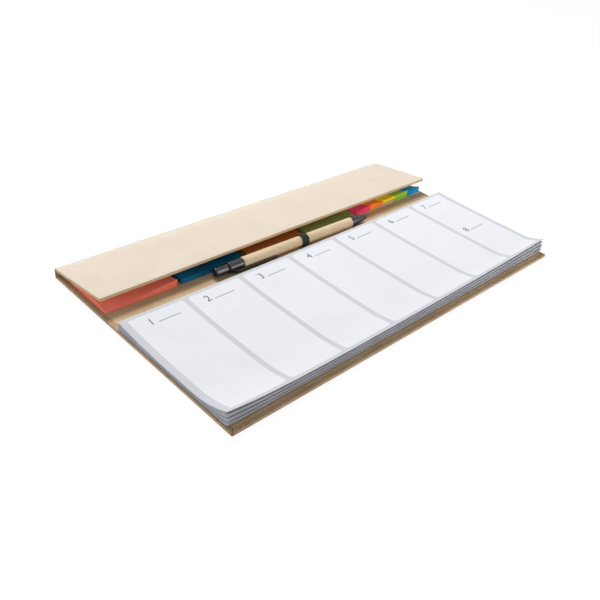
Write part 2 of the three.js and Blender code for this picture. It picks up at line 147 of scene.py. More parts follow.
# The paper's fine tooth, in its relief and its roughness
def paperFinish(tree, shader, place, look):
    tooth = noise(tree, place, look["toothScale"], 3.0)
    relief = {"Strength": look["tooth"], "Distance": look["toothDepth"], "Height": tooth}
    tree.links.new(addNode(tree, "ShaderNodeBump", relief).outputs[0], shader.inputs["Normal"])
    rough = look["rough"] - look["roughSpread"], look["rough"] + look["roughSpread"]
    tree.links.new(ramp(tree, tooth, 0.3, 0.7, rough), shader.inputs["Roughness"])
    shader.inputs["Specular IOR Level"].default_value = 0.3


def paperMaterial(name, look):
    material, tree, shader, place = startMaterial(name)
    tree.links.new(paperLayers(tree, place, look), shader.inputs["Base Color"])
    paperFinish(tree, shader, place, look)
    return material


# The look of a paper from its four colours: those of the sheet, its mottling, its fibres and its flecks
def lookOf(colours, **changes):
    keys = "base", "shade", "fibreColour", "fleckColour"
    return {**paperLook, **{key: linear(*colour) for key, colour in zip(keys, colours)}, **changes}


papers = {
    "cream kraft": (
        ((227, 214, 198), (223, 209, 192), (208, 191, 169), (188, 163, 134)), {"fibre": 0.3, "fleck": 0.4},
    ),
    "creased kraft": (
        ((214, 199, 181), (206, 190, 170), (186, 166, 142), (170, 146, 118)), {"fibre": 0.6, "tooth": 0.6},
    ),
    "brown kraft": (
        ((206, 179, 143), (197, 168, 131), (170, 140, 106), (136, 106, 76)), {"fibre": 0.5},
    ),
    "middle kraft": (
        ((216, 196, 168), (208, 187, 158), (184, 158, 126), (150, 122, 90)), {"fibre": 0.4},
    ),
    # Dark brown for the spine's end faces: painted shade of the hollow between the boards
    "painted shade on the spine's ends": (
        ((118, 94, 72), (104, 82, 62), (86, 66, 48), (70, 54, 40)), {"fibre": 0.5},
    ),
    "rolled kraft tube": (
        ((228, 206, 174), (221, 197, 163), (198, 170, 132), (160, 128, 90)), {"fibre": 0.5},
    ),
    "grey board": (
        ((150, 146, 138), (138, 134, 126), (110, 106, 100), (84, 80, 76)), {"fibre": 0.6},
    ),
    "white card": (
        ((236, 234, 228), (230, 228, 222), (214, 212, 206), (200, 198, 192)), {"fibre": 0.2},
    ),
    "dried glue": (
        ((226, 226, 222), (214, 214, 210), (200, 200, 196), (230, 230, 228)), {"fibre": 0.3, "rough": 0.45},
    ),
    "grey ink": (
        ((100, 102, 110), (100, 102, 110), (150, 152, 160), (140, 142, 150)), {"fibre": 0.3},
    ),
    "printed border": (
        ((200, 201, 207), (196, 197, 203), (180, 182, 190), (180, 182, 190)),
        {"fibre": 0.12, "fleck": 0.1, "tooth": 0.12},
    ),
    # Cut paper edges, painted grey as the shade between the sheets; those at the front are painted darker
    # still, as shade on faces turned from the light
    "front paper edges in painted shade": (
        ((188, 189, 196), (170, 171, 179), (124, 126, 136), (124, 126, 136)),
        {"fibre": 0.4, "fleck": 0.2, "tooth": 0.3},
    ),
    "cut paper edges": (
        ((199, 200, 208), (186, 188, 197), (150, 152, 162), (150, 152, 162)),
        {"fibre": 0.4, "fleck": 0.2, "tooth": 0.3},
    ),
}
paper = {name: paperMaterial(name, lookOf(colours, **changes)) for name, (colours, changes) in papers.items()}
# Both pad edge materials carry painted shade: the front one first, then the one for the other three edges
padEdgesInPaintedShade = [paper["front paper edges in painted shade"], paper["cut paper edges"]]


# Note paper: the bright tints get a painted glow of their own colour, emission that stands in for the extra
# brightness of fluorescent paper
def tintedPaper(name, red, green, blue, glow=0.0):
    deep = red * 0.94, green * 0.93, blue * 0.93
    fibres = red * 0.86, green * 0.84, blue * 0.84
    look = lookOf(((red, green, blue), deep, fibres, deep), fibre=0.2, fleck=0.1, tooth=0.15)
    material = paperMaterial(name, look)
    shader = material.node_tree.nodes["Principled BSDF"]
    shader.inputs["Emission Color"].default_value = linear(red, green, blue)
    shader.inputs["Emission Strength"].default_value = glow
    return material


# Meshes
def makePiece(name, points, quads, material, body, caps=(), uv=None, smooth=40.0, others=(), chosen=None):
    points = np.asarray(points, float).reshape(-1, 3) * 0.001
    faces = [tuple(int(i) for i in quad) for quad in quads] + [tuple(int(i) for i in cap) for cap in caps]
    mesh = bpy.data.meshes.new(name)
    mesh.from_pydata(points.tolist(), [], faces)
    piece = bpy.data.objects.new(name, mesh)
    bpy.context.collection.objects.link(piece)
    if uv is not None:
        layer = mesh.uv_layers.new(name="sheet")
        corners = np.empty(len(mesh.loops), np.int32)
        mesh.loops.foreach_get("vertex_index", corners)
        layer.data.foreach_set("uv", np.asarray(uv, np.float32).reshape(-1, 2)[corners].ravel())
    for used in (material, *others):
        mesh.materials.append(used)
    if chosen is not None:
        indices = np.zeros(len(mesh.polygons), np.int32)
        indices[:len(chosen)] = chosen
        mesh.polygons.foreach_set("material_index", indices)
    faceOutwards(mesh)
    mesh.polygons.foreach_set("use_smooth", [True] * len(mesh.polygons))
    mesh.set_sharp_from_angle(angle=radians(smooth))
    if body:
        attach(piece, body)
    return piece


# A node that keeps its mesh from the frame gets a material
def dress(material, *nodes):
    for node in nodes:
        bpy.data.objects[node].data.materials.clear()
        bpy.data.objects[node].data.materials.append(material)


# The faces of each shell are turned outwards
def faceOutwards(mesh):
    bm = bmesh.new()
    bm.from_mesh(mesh)
    bmesh.ops.recalc_face_normals(bm, faces=bm.faces)
    bm.to_mesh(mesh)
    bm.free()


# Quads between neighbouring rings of a grid of points numbered row by row
def ringQuads(rings, around, closeAround=True, closeAlong=False):
    i = np.arange(rings if closeAlong else rings - 1)[:, None]
    j = np.arange(around if closeAround else around - 1)[None, :]
    nextI, nextJ = (i + 1) % rings, (j + 1) % around
    corners = [i * around + j, nextI * around + j, nextI * around + nextJ, i * around + nextJ]
    return np.stack([np.broadcast_to(c, np.broadcast(i, j).shape) for c in corners], -1).reshape(-1, 4)


# A thin shell: an upper and a lower grid of the same layout, joined along their four edges
def shellQuads(rows, columns):
    grid = np.arange(rows * columns).reshape(rows, columns)
    lower = grid + rows * columns
    top = np.stack([grid[:-1, :-1], grid[:-1, 1:], grid[1:, 1:], grid[1:, :-1]], -1).reshape(-1, 4)
    under = np.stack([lower[:-1, :-1], lower[1:, :-1], lower[1:, 1:], lower[:-1, 1:]], -1).reshape(-1, 4)
    edge = np.concatenate([grid[0, :-1], grid[:-1, -1], grid[-1, :0:-1], grid[:0:-1, 0]])
    low = edge + rows * columns
    rim = np.stack([edge, low, np.roll(low, -1), np.roll(edge, -1)], -1)
    return np.concatenate([top, under, rim])


# The material of each of those quads: 0 on the faces, 1 on the front edge, 2 on the other three edges
def rimFaces(rows, columns):
    counts = 2 * (rows - 1) * (columns - 1), columns - 1, 2 * rows + columns - 3
    return np.repeat(np.arange(3, dtype=np.int32), counts)


# Camera, light and floor
studio = {
    "skyLow": 0.22, "skyHigh": 0.34, "skyTilt": -0.1, "floorColour": (0.86, 0.86, 0.86, 1), "floorGlow": 0.93,
    "floorShade": (0.09, 0.09, 0.09, 1), "floorHalf": 3.0, "floorZ": -0.0002,
    "cameraAt": (-0.32117, -0.26914, 0.25865), "cameraTurn": (55.2203, -6.3978, -43.9565), "lens": 43.949,
    "lamps": {
        "key": {"at": (0.15, 0.75, 1.05), "size": 0.4, "watts": 13.2},
        "fill": {"at": (0.4, -0.5, 0.1), "size": 0.3, "watts": 2.3},
        "left": {"at": (-1.0, 0.35, 0.22), "size": 0.6, "watts": 2.6},
    },
}
camera = bpy.data.objects.new("camera", bpy.data.cameras.new("camera"))
camera.location = studio["cameraAt"]
camera.rotation_euler = [radians(degrees) for degrees in studio["cameraTurn"]]
camera.data.lens = studio["lens"]
camera.data.sensor_width = 36
camera.data.clip_start = 0.01
bpy.context.collection.objects.link(camera)
bpy.context.scene.camera = camera
bpy.context.scene.view_settings.view_transform = "Standard"

for lampName, lamp in studio["lamps"].items():
    data = bpy.data.lights.new(lampName, "AREA")
    data.shape = "DISK"
    data.size = lamp["size"]
    data.energy = lamp["watts"]
    light = bpy.data.objects.new(lampName, data)
    light.location = lamp["at"]
    aim = -light.location
    light.rotation_euler = aim.to_track_quat("-Z", "Y").to_euler()
    bpy.context.collection.objects.link(light)


# 1 where the camera, a reflection or a refraction sees the surface, and 0 where it only lights the object
def seenRays(tree):
    rays = addNode(tree, "ShaderNodeLightPath").outputs
    seen = calc(tree, "ADD", rays["Is Camera Ray"], rays["Is Glossy Ray"])
    return calc(tree, "MINIMUM", calc(tree, "ADD", seen, rays["Is Transmission Ray"]), 1.0)


# The sky lights the object from above, a little more from the left, and is seen as plain white
world = bpy.data.worlds.new("studio")
world.use_nodes = True
bpy.context.scene.world = world
tree = world.node_tree
backdrop = tree.nodes["Background"]
backdrop.inputs["Color"].default_value = (1, 1, 1, 1)
sky = splitAxes(tree, addNode(tree, "ShaderNodeTexCoord").outputs["Generated"])
up = ramp(tree, sky[2], 0.0, 0.8, (studio["skyLow"], studio["skyHigh"]))
strength = calc(tree, "ADD", up, calc(tree, "MULTIPLY", sky[0], studio["skyTilt"]))
seenPart = addNode(tree, "ShaderNodeMix", {0: seenRays(tree), 2: strength, 3: 1.0}).outputs[0]
tree.links.new(seenPart, backdrop.inputs["Strength"])

floorMaterial = bpy.data.materials.new("studio floor")
floorMaterial.use_nodes = True
tree = floorMaterial.node_tree
tree.nodes.remove(tree.nodes["Principled BSDF"])
matte = addNode(tree, "ShaderNodeBsdfDiffuse", {"Color": studio["floorColour"]}).outputs[0]
glow = addNode(tree, "ShaderNodeEmission", {"Strength": studio["floorGlow"]}).outputs[0]
dim = addNode(tree, "ShaderNodeBsdfDiffuse", {"Color": studio["floorShade"]}).outputs[0]
bright = addNode(tree, "ShaderNodeAddShader", {0: glow, 1: dim}).outputs[0]
mixed = addNode(tree, "ShaderNodeMixShader", {0: seenRays(tree), 1: matte, 2: bright}).outputs[0]
tree.links.new(mixed, tree.nodes["Material Output"].inputs["Surface"])
floorMesh = bpy.data.meshes.new("floor")
reach = studio["floorHalf"]
floorCorners = [(-reach, -reach, 0), (reach, -reach, 0), (reach, reach, 0), (-reach, reach, 0)]
floorMesh.from_pydata(floorCorners, [], [(0, 1, 2, 3)])
floorMesh.materials.append(floorMaterial)
floor = bpy.data.objects.new("floor", floorMesh)
floor.location.z = studio["floorZ"]
bpy.context.collection.objects.link(floor)
print("studio ready")

# Case: cover paper wrapped round the boards, with its turn-ins, and the hinge paper at the two creases
case = {
    "length": 297.0, "creaseY": 83.15, "frontS": 167.3, "flapS": 50.3, "paper": 0.2, "lip": 12.0, "rim": 2.15,
    "round": 0.45, "corner": 0.9, "creaseRadius": 1.0, "spineHeight": 7.2, "tilt": radians(7.5),
    "liningMargin": 3.0, "atCrease": 0.05, "grooveDepth": 0.45, "boardEdge": 2.2, "liningTop": 2.38,
    "spineInside": 81.77, "endRound": 0.3, "lipRings": (2.9, 5.0, 8.0),
}


# A point s in front of the crease axis and h inside the outer face, on the base
def onBase(x, s, h):
    return np.stack(np.broadcast_arrays(x, case["creaseY"] - s, h), -1)


# The same on the flap, which leans up from the upper crease axis
def onFlap(x, s, h):
    tilt = case["tilt"]
    out = case["creaseRadius"] - h
    y = case["creaseY"] - s * np.cos(tilt) + out * np.sin(tilt)
    z = case["spineHeight"] - case["creaseRadius"] + s * np.sin(tilt) + out * np.cos(tilt)
    return np.stack(np.broadcast_arrays(x, y, z), -1)


# The line round three sides of a board, set in by d, with its two corners rounded to radius r
def threeSides(s1, d, r):
    half = case["length"] / 2 - d
    end = s1 - d
    turn = np.linspace(0, np.pi / 2, 7)
    side = np.linspace(0, 1, 13)[:-1]
    x = np.concatenate([
        np.full(12, -half), -half + r * (1 - np.cos(turn)), -half + r + (2 * half - 2 * r) * side[1:],
        half - r + r * np.sin(turn), np.full(12, half),
    ])
    s = np.concatenate([
        (end - r) * side, end - r + r * np.sin(turn), np.full(11, end), end - r + r * np.cos(turn),
        (end - r) * (1 - side - 1 / 12),
    ])
    return x, np.maximum(s, case["atCrease"])


# Cover sheet: a flat face, and the line round its three sides carried up the edge and over it as the turn-in
def coverSheet(name, s1, place, node, body, material, turnIn):
    r, rim = case["round"], case["rim"]
    arc = np.linspace(0, np.pi / 2, 6)
    inset = np.concatenate([r * (1 - np.sin(arc)), r * (1 - np.cos(arc)), [*case["lipRings"], case["lip"]]])
    inside = np.concatenate([r * (1 - np.cos(arc)), rim - r + r * np.sin(arc), np.full(4, rim)])
    rings = []
    for d, h in zip(inset, inside):
        x, s = threeSides(s1, d, max(case["corner"] - d, 0.02))
        rings.append(place(x, s, np.full_like(x, h)))
    points = np.array(rings)
    around = points.shape[1]
    quads = ringQuads(len(rings), around, closeAround=False)
    over = np.repeat(inside[1:] > r / 2, around - 1).astype(np.int32)
    piece = makePiece(name, points, quads, material, None, caps=[range(around)], others=[turnIn], chosen=over)
    shell = piece.modifiers.new("paper", "SOLIDIFY")
    shell.thickness = case["paper"] * 0.001
    shell.offset = -1
    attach(piece, body)
    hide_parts(node)
    return piece


# Turn-in paper: the brown face of the kraft, darker along a crease from each front corner and in the wrinkles
# beside it, both also pressed in as relief
rimLook = {
    "colours": ((192, 165, 134), (174, 146, 115), (146, 116, 86), (104, 78, 54)), "fibre": 0.6,
    "wander": 0.0009, "creaseEdge": 0.0006, "creaseCore": 0.0001, "wrinkledTo": 0.016, "wrinkledFrom": 0.004,
    "wrinkleDarkening": 0.8, "dark": 0.75, "darkColour": linear(96, 74, 56),
}


def rimMaterial():
    look = lookOf(rimLook["colours"], fibre=rimLook["fibre"])
    material, tree, shader, place = startMaterial("turned-in kraft")
    split = splitAxes(tree, place)
    fromSide = calc(tree, "SUBTRACT", case["length"] / 2000, calc(tree, "ABSOLUTE", split[0]))
    fromFront = calc(tree, "ADD", split[1], (case["frontS"] - case["creaseY"]) / 1000)
    wander = ramp(tree, noise(tree, place, 260.0, 3.0), 0, 1, (-rimLook["wander"], rimLook["wander"]))
    offMitre = calc(tree, "ABSOLUTE", calc(tree, "ADD", calc(tree, "SUBTRACT", fromSide, fromFront), wander))
    crease = ramp(tree, offMitre, rimLook["creaseEdge"], rimLook["creaseCore"])
    farther = calc(tree, "MAXIMUM", fromSide, fromFront)
    corner = ramp(tree, farther, rimLook["wrinkledTo"], rimLook["wrinkledFrom"])
    cells = {"Vector": place, "Scale": 300.0}
    fromCellEdge = addNode(tree, "ShaderNodeTexVoronoi", cells, feature="DISTANCE_TO_EDGE").outputs[0]
    wrinkle = calc(tree, "MULTIPLY", ramp(tree, fromCellEdge, 0.1, 0.0), corner)
    marks = calc(tree, "MAXIMUM", crease, calc(tree, "MULTIPLY", wrinkle, rimLook["wrinkleDarkening"]))
    darkened = calc(tree, "MULTIPLY", marks, rimLook["dark"])
    colour = blendColours(tree, darkened, paperLayers(tree, place, look), rimLook["darkColour"])
    tree.links.new(colour, shader.inputs["Base Color"])
    paperFinish(tree, shader, place, look)
    tooth = noise(tree, place, look["toothScale"], 3.0)
    height = calc(tree, "SUBTRACT", calc(tree, "MULTIPLY", tooth, 0.2), marks)
    bump = addNode(tree, "ShaderNodeBump", {"Strength": 0.7, "Distance": 0.00025, "Height": height})
    tree.links.new(bump.outputs[0], shader.inputs["Normal"])
    return material


coverSheet(
    "base_cover", case["frontS"], onBase, "base_cover_paper", "base", paper["middle kraft"], rimMaterial(),
)
# The flap's edges and turn-in take the brown kraft, darker than its cream face; on the front edge this
# darkness is painted shade
coverSheet(
    "flap_cover", case["flapS"], onFlap, "flap_cover_paper", "flap", paper["cream kraft"],
    paper["brown kraft"],
)
dress(paper["grey board"], "base_board", "spine_board", "flap_board")
dress(paper["brown kraft"], "base_lining_paper", "spine_lining_paper", "flap_lining_paper")


# A strip of paper as long as the case: a line in the section, and the same line one thickness further in
def foldedStrip(name, line, inward, material, body, margin=0.0, slot="kraft_paper"):
    x = np.linspace(margin - case["length"] / 2, case["length"] / 2 - margin, 41)
    outer = np.stack(np.broadcast_arrays(x[None, :], line[:, 0, None], line[:, 1, None]), -1)
    inner = outer.copy()
    inner[..., 1] += inward[:, 0, None] * case["paper"]
    inner[..., 2] += inward[:, 1, None] * case["paper"]
    points = np.concatenate([outer.reshape(-1, 3), inner.reshape(-1, 3)])
    piece = makePiece(name, points, shellQuads(len(line), len(x)), material, body)
    return piece


upperAxis = case["spineHeight"] - case["creaseRadius"]
backY = case["creaseY"] + case["creaseRadius"]
spineLine = np.stack([np.full(6, backY), np.linspace(case["creaseRadius"], upperAxis, 6)], -1)
spine = foldedStrip("spine_cover", spineLine, np.tile([-1.0, 0.0], (6, 1)), paper["cream kraft"], "spine")
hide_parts("spine_cover_paper")


# The cover paper turned in over one end of the spine: round the board's end and a little way along its inside
def spineEnd(side):
    half, inside, r = case["length"] / 2, backY - case["rim"], case["endRound"]
    cut = 0.3 * r
    line = np.array([
        (half - case["lip"], inside), (half - r, inside), (half - cut, inside + cut), (half, inside + r),
        (half, backY - r), (half - cut, backY - cut), (half - r, backY),
    ])
    inward = np.array([(0, 1), (0, 1), (-0.7, 0.7), (-1, 0), (-1, 0), (-0.7, -0.7), (0, -1)]) * case["paper"]
    z = np.linspace(case["creaseRadius"] + 0.1, upperAxis - 0.1, 5)
    grids = [
        np.stack(np.broadcast_arrays(side * at[:, 0, None], at[:, 1, None], z[None, :]), -1).reshape(-1, 3)
        for at in (line, line + inward)
    ]
    # The faces on the spine's end are painted dark brown, as the shade of the hollow between the boards
    paintedShadeOnEnd = np.repeat([0, 1, 0], [8, 12, 4])
    piece = makePiece(
        f"spine_end_{'left' if side < 0 else 'right'}", np.concatenate(grids), shellQuads(7, 5),
        paper["brown kraft"], "spine", others=[paper["painted shade on the spine's ends"]], chosen=paintedShadeOnEnd,
    )


spineEnd(-1)
spineEnd(1)


# Paper round each crease, at a radius from its axis, baked where it lies
def creasePapers(kind, radius, steps, way, material, **strip):
    for place, centreZ, start, stop, bodies in (
        ("lower", case["creaseRadius"], -np.pi / 2, 0, ("base", "spine")),
        ("upper", upperAxis, 0, np.pi / 2 - case["tilt"], ("spine", "flap")),
    ):
        turn = np.linspace(start, stop, steps)
        away = np.stack([np.cos(turn), np.sin(turn)], -1)
        line = np.array([case["creaseY"], centreZ]) + away * radius
        hinge = foldedStrip(f"{place}_hinge_{kind}", line, away * way, material, None, **strip)
        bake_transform(hinge)


creasePapers("paper", case["creaseRadius"], 13, -1, paper["creased kraft"])

# Lining pressed into the two grooves: down a board's edge, across the crease and up the next board's edge
liningStrip = {"margin": case["liningMargin"], "slot": "kraft_lining"}


def grooveLining(name, line, inward, body):
    foldedStrip(name, np.array(line), np.array(inward, float), paper["brown kraft"], body, **liningStrip)


deep, edge = case["grooveDepth"], case["boardEdge"]
inner = case["creaseRadius"] - deep
downTheEdge = [(edge, case["liningTop"]), (edge, deep + 0.1), (edge - 0.1, deep), (case["atCrease"], deep)]
intoEdge = [(1, 0), (1, 0), (0.7, -0.7), (0, -1)]
onBaseLine = [(case["creaseY"] - s, h) for s, h in downTheEdge]
grooveLining("base_groove_lining", onBaseLine, [(-ds, dh) for ds, dh in intoEdge], "base")
onFlapLine = [onFlap(0, s, h)[1:] for s, h in downTheEdge]
offset = [
    onFlap(0, s + ds, h + dh)[1:] - at for (s, h), (ds, dh), at in zip(downTheEdge, intoEdge, onFlapLine)
]
grooveLining("flap_groove_lining", onFlapLine, offset, "flap")
shelf = case["creaseY"] + inner
for name, centreZ, way in (
    ("spine_groove_lining_low", case["creaseRadius"], 1), ("spine_groove_lining_high", upperAxis, -1),
):
    top = centreZ + 0.3 * way
    line = [
        (shelf, centreZ + case["atCrease"] * way), (shelf, top - 0.1 * way), (shelf - 0.1, top),
        (case["spineInside"], top),
    ]
    grooveLining(name, line, [(1, 0), (1, 0), (0.7, 0.7 * way), (0, way)], "spine")
creasePapers("lining", inner, 9, 1, paper["brown kraft"], **liningStrip)
print("case ready")

# Planner pad
pad = {
    "width": 296.0, "depth": 96.0, "frontY": -80.15, "underside": 2.4, "restLeft": 2.7, "restRise": 3.3,
    "backRise": 0.7, "backRiseLeft": 2.1, "backReach": 47.0, "curl": 2.9, "curlLeft": 4.4, "curlRight": 1.6,
    "reachLeft": 28.0, "reachRight": 16.0, "corner": 34.0, "bound": 4.4, "fanBack": 0.22, "columns": 110,
    "rows": 22, "groove": 1.5, "trimmed": 2, "openedTo": 46.0, "slipTo": 90.0, "fill": 0.8,
    "slipSideways": 0.22, "slipInwards": 0.3, "waveLength": 17.0, "waveGrowth": 9.0, "glueOut": 0.14,
    "glueThick": 0.16,
    "bundles": ((9, 0.08, 0.24, 0.1), (9, 0.33, 0.55, 0.05), (9, 0.6, 0.82, 0.03), (4, 0.88, 1.0, 0.0)),
}


# Height over the board: a rest height that grows to the right, a rise to the glued back edge, and a curl at
# the front
def padHeight(x, fromFront):
    across = (x + pad["width"] / 2) / pad["width"]
    left = (x + pad["width"] / 2) / pad["corner"]
    right = (pad["width"] / 2 - x) / pad["corner"]
    rest = pad["restLeft"] + pad["restRise"] * across ** 1.3
    toBack = np.maximum(0, 1 - (pad["depth"] - fromFront) / pad["backReach"])
    back = (pad["backRise"] + pad["backRiseLeft"] * (1 - across) ** 2) * toBack ** 2
    curl = pad["curl"] + pad["curlLeft"] * np.exp(-left) + pad["curlRight"] * np.exp(-right)
    reach = pad["reachLeft"] + (pad["reachRight"] - pad["reachLeft"]) * across
    toFront = np.maximum(0, 1 - fromFront / reach)
    return rest + back + curl * toFront ** 1.8


# Sheets stand farther back where the pad is thicker than at its glued edge, by a share of the extra height
def leanBack(height, v):
    return pad["fanBack"] * np.maximum(0, height - pad["bound"]) * (1 - v / pad["depth"])


# One sheet: the height times a level, which changes from its place in the glued block to its place in the
# fanned front
def padSheet(backLevel, frontLevel, thickness, shift, wave, short):
    x = -np.cos(np.linspace(0, np.pi, pad["columns"])) * pad["width"] / 2
    fromFront = short + (pad["depth"] - short) * np.linspace(0, 1, pad["rows"]) ** 1.5
    x, v = np.meshgrid(x, fromFront)
    opened = np.clip(1 - v / pad["openedTo"], 0, 1) ** 1.5
    level = backLevel + (frontLevel - backLevel) * opened
    height = padHeight(x, v)
    ripple = wave["size"] * opened * np.sin(x / wave["length"] + wave["phase"])
    slip = shift[1] * np.clip(1 - v / pad["slipTo"], 0, 1)
    y = pad["frontY"] + v + leanBack(height, v) * level + slip
    z = pad["underside"] + height * level + ripple
    upper = np.stack([x + shift[0] * 2 * x / pad["width"], y, z], -1)
    lower = upper.copy()
    lower[..., 2] -= thickness * height
    return upper, lower, x, v


# A bundle of sheets, with the material of each quad and a map in shares of the pad's width and depth
def padBundle(count, low, high, ripple, first, total):
    points, quads, uvs, rims = [], [], [], []
    step = (high - low) / count
    thickness = pad["fill"] * min(step, 1 / total)
    for k in range(count):
        bend = pad["waveGrowth"] * low
        wave = {"size": ripple, "length": pad["waveLength"] + bend, "phase": k * 0.25 + bend}
        shift = rng.uniform(-pad["slipSideways"], 0.0), rng.uniform(0.0, pad["slipInwards"])
        short = pad["groove"] if k < pad["trimmed"] else 0.0
        levels = (first + k + 1) / total, low + step * (k + 1)
        upper, lower, x, v = padSheet(*levels, thickness, shift, wave, short)
        quads.append(shellQuads(*x.shape) + sum(len(p) for p in points))
        rims.append(rimFaces(*x.shape))
        points += [upper.reshape(-1, 3), lower.reshape(-1, 3)]
        uv = np.stack([(x + pad["width"] / 2) / pad["width"], v / pad["depth"]], -1).reshape(-1, 2)
        uvs += [uv, uv]
    return np.concatenate(points), np.concatenate(quads), np.concatenate(uvs), np.concatenate(rims)


# The printed sheet: a grey frame with seven white fields, rounded corners, and a thin line at each head
printed = {
    "pitch": 42.29, "offset": 1.63, "strip": 3.5, "left": 4.5, "right": 4.0, "front": 2.8, "back": 2.2,
    "round": 2.4,
    "frame": linear(207, 208, 213), "frameBlur": 0.12, "line": linear(150, 152, 160), "lineBlur": 0.1,
    "centres": (27.0, 67.0, 109.5, 152.0, 194.0, 236.5, 276.5), "headFromBack": 11.0,
    "lastHead": (276.5, 45.0), "lineLength": 15.0, "lineHeight": 0.65,
    "sheet": ((234, 235, 241), (231, 232, 238), (220, 222, 229), (216, 218, 226)),
}
heads = [(centre, pad["depth"] - printed["headFromBack"]) for centre in printed["centres"]]
heads.append(printed["lastHead"])


def printedMaterial():
    look = lookOf(printed["sheet"], fibre=0.1, fleck=0.08, tooth=0.1)
    material, tree, shader, place = startMaterial("printed paper")
    colour = paperLayers(tree, place, look)
    split = splitAxes(tree, addNode(tree, "ShaderNodeUVMap", uv_map="sheet").outputs[0])
    x = calc(tree, "MULTIPLY", split[0], pad["width"])
    y = calc(tree, "MULTIPLY", split[1], pad["depth"])
    fromOffset = calc(tree, "SUBTRACT", x, printed["offset"])
    column = calc(tree, "FRACT", calc(tree, "DIVIDE", fromOffset, printed["pitch"]))
    beside = calc(tree, "MULTIPLY", offFrom(tree, column, 0.5), printed["pitch"])
    halfWide = (printed["pitch"] - printed["strip"]) / 2
    halfDeep = (pad["depth"] - printed["front"] - printed["back"]) / 2
    along = offFrom(tree, y, printed["front"] + halfDeep)
    outX = past(tree, beside, halfWide - printed["round"])
    outY = past(tree, along, halfDeep - printed["round"])
    blur = printed["frameBlur"]
    inFrame = ramp(tree, diagonal(tree, outX, outY), printed["round"] - blur, printed["round"] + blur)
    rightEdge = pad["width"] - printed["right"]
    atLeft = ramp(tree, x, printed["left"] + blur, printed["left"] - blur)
    atRight = ramp(tree, x, rightEdge - blur, rightEdge + blur)
    inFrame = calc(tree, "MAXIMUM", inFrame, calc(tree, "MAXIMUM", atLeft, atRight))
    colour = blendColours(tree, inFrame, colour, printed["frame"])
    half, thick, blur = printed["lineLength"] / 2, printed["lineHeight"] / 2, printed["lineBlur"]
    inLine = 0.0
    for centre, up in heads:
        outAlong = past(tree, offFrom(tree, x, centre), half - thick)
        gap = diagonal(tree, outAlong, calc(tree, "SUBTRACT", y, up))
        inLine = calc(tree, "MAXIMUM", inLine, ramp(tree, gap, thick + blur, thick - blur))
    colour = blendColours(tree, inLine, colour, printed["line"])
    tree.links.new(colour, shader.inputs["Base Color"])
    paperFinish(tree, shader, place, look)
    return material


# Four bundles, of which the uppermost gives its last sheet to the print
total = sum(bundle[0] for bundle in pad["bundles"])
first = 0
for index, (count, low, high, ripple) in enumerate(pad["bundles"]):
    points, quads, uvs, rims = padBundle(count, low, high, ripple, first, total)
    first += count
    if first == total:
        below = len(points) - 2 * pad["rows"] * pad["columns"]
        onTop = quads.min(axis=1) >= below
        makePiece(
            "pad_top_sheet", points[below:], quads[onTop] - below, printedMaterial(), "base", uv=uvs[below:],
            others=padEdgesInPaintedShade, chosen=rims[onTop],
        )
        points, quads, rims = points[:below], quads[~onTop], rims[~onTop]
    makePiece(
        f"pad_bundle_{index}", points, quads, paper["printed border"], "base", others=padEdgesInPaintedShade, chosen=rims,
    )
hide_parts("planner_pad")


# Glue film over the back edge of the pad
def glueFilm():
    x, share = np.meshgrid(np.linspace(-pad["width"] / 2, pad["width"] / 2, 61), np.linspace(0.02, 1, 4))
    y = np.full_like(x, pad["frontY"] + pad["depth"] + pad["glueOut"])
    film = np.stack([x, y, pad["underside"] + padHeight(x, pad["depth"]) * share], -1)
    under = film - [0, pad["glueThick"], 0]
    points = np.concatenate([film.reshape(-1, 3), under.reshape(-1, 3)])
    piece = makePiece("pad_glue", points, shellQuads(*x.shape), paper["dried glue"], "base")


glueFilm()


# A point on the top sheet, x from its left edge and v from its front
def onTopSheet(x, v, above):
    x = x - pad["width"] / 2
    height = padHeight(x, v)
    return np.stack([x, pad["frontY"] + v + leanBack(height, v), pad["underside"] + height + above], -1)


# Plain numbers at the head of each field, as thin as ink
numbers = {"size": 7.6, "thick": 0.012, "above": 0.03, "left": 13.2, "down": 0.4}


def numberedHeads():
    points, faces = [], []
    for number, (centre, up) in enumerate(heads, 1):
        curve = bpy.data.curves.new("number", "FONT")
        curve.body = str(number)
        curve.size = numbers["size"]
        curve.extrude = numbers["thick"]
        text = bpy.data.objects.new("number", curve)
        mesh = bpy.data.meshes.new_from_object(text)
        flat = np.empty(len(mesh.vertices) * 3)
        mesh.vertices.foreach_get("co", flat)
        x, v, above = flat.reshape(-1, 3).T
        base = sum(len(p) for p in points)
        x, v = x + centre - numbers["left"], v + up - numbers["down"]
        points.append(onTopSheet(x, v, numbers["above"] + above))
        faces += [tuple(base + i for i in face.vertices) for face in mesh.polygons]
        bpy.data.objects.remove(text)
        bpy.data.curves.remove(curve)
        bpy.data.meshes.remove(mesh)
    piece = makePiece("pad_numbers", np.concatenate(points), faces, paper["grey ink"], "base", smooth=20)


numberedHeads()
print("pad ready")

